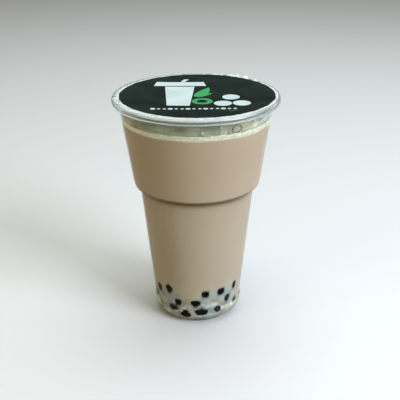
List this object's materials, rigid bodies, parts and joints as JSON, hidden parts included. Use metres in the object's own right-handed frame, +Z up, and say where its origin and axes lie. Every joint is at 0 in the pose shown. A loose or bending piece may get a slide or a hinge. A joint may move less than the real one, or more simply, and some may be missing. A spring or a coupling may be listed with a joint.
{
  "type": "bubble tea",
  "caption": "Milk tea with tapioca pearls in a clear tapered cup with a shoulder and a rolled rim, shut by a printed sealing film.",
  "frame": {"origin": "centre of the resting plane of the cup's foot, on the cup's axis", "axes": "+Z up along the cup's axis; +X to the right and -Y towards the side that the picture shows"},
  "size_m": [0.095, 0.095, 0.1381],
  "materials": {
    "clear_plastic": "clear thermoformed polypropylene, slightly hazy, glossy",
    "milk_tea": "opaque milky tea, smooth",
    "milk_froth": "pale froth of small bubbles",
    "printed_film": "thin glossy sealing film, printed black with white and green shapes, clear at its edge",
    "tapioca": "glossy near-black tapioca pearls"
  },
  "bodies": {
    "root": {"cup": "clear_plastic", "tea": "milk_tea", "froth": "milk_froth", "film": "printed_film"}
  },
  "joints": []
}
